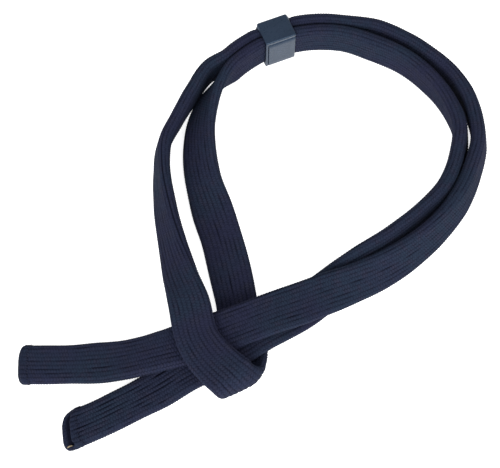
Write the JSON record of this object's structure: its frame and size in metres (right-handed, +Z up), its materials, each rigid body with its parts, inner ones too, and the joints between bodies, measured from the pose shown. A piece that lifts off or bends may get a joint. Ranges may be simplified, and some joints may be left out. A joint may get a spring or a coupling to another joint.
{
  "type": "eyeglass retainer strap",
  "caption": "Flat knitted cord for spectacles, folded in two and looped on itself, with a moulded slider over both strands and an open sleeve at each end for a temple.",
  "frame": {"origin": "centre of the bounding box's base, on the table top the strap lies on", "axes": "+Z up from the table; +X along the upper sleeve from its mouth towards the loop; +Y from the knot towards the slider's side of the loop"},
  "size_m": [0.1409, 0.1387, 0.0136],
  "materials": {
    "knit": "fine knitted polyester, matte with a soft sheen",
    "hem": "turned and sewn knit, matte",
    "slider": "moulded plastic, satin",
    "yarn": "bare elastic yarn end"
  },
  "bodies": {
    "loop": {"upper_strand_crossing": "knit", "outer_strand_lower_right": "knit", "outer_strand_right": "knit", "outer_strand_top": "knit", "outer_strand_left": "knit", "bight_top_band": "knit", "bight_fold": "knit", "bight_underside": "knit", "inner_strand_left": "knit", "inner_strand_top": "knit", "inner_strand_right": "knit", "inner_strand_lower_right": "knit", "lower_strand_crossing": "knit"},
    "slider": {"slider_sleeve": "slider"},
    "upper_tail": {"upper_temple_sleeve": "knit", "upper_sleeve_hem": "hem"},
    "lower_tail": {"lower_temple_sleeve": "knit", "lower_sleeve_hem": "hem"}
  },
  "joints": [
    {"name": "slider_travel", "type": "hinge", "parent": "loop", "child": "slider", "pos_m": [0.0201, 0.0258, 0], "axis": [0, 0, 1], "range_deg": [-20, 14]},
    {"name": "upper_tail_swing", "type": "hinge", "parent": "loop", "child": "upper_tail", "pos_m": [-0.02384, -0.04017, 0], "axis": [0, 0, -1], "range_deg": [0, 25]},
    {"name": "lower_tail_swing", "type": "hinge", "parent": "loop", "child": "lower_tail", "pos_m": [-0.0206, -0.0467, 0], "axis": [0, 0, 1], "range_deg": [0, 25]}
  ]
}
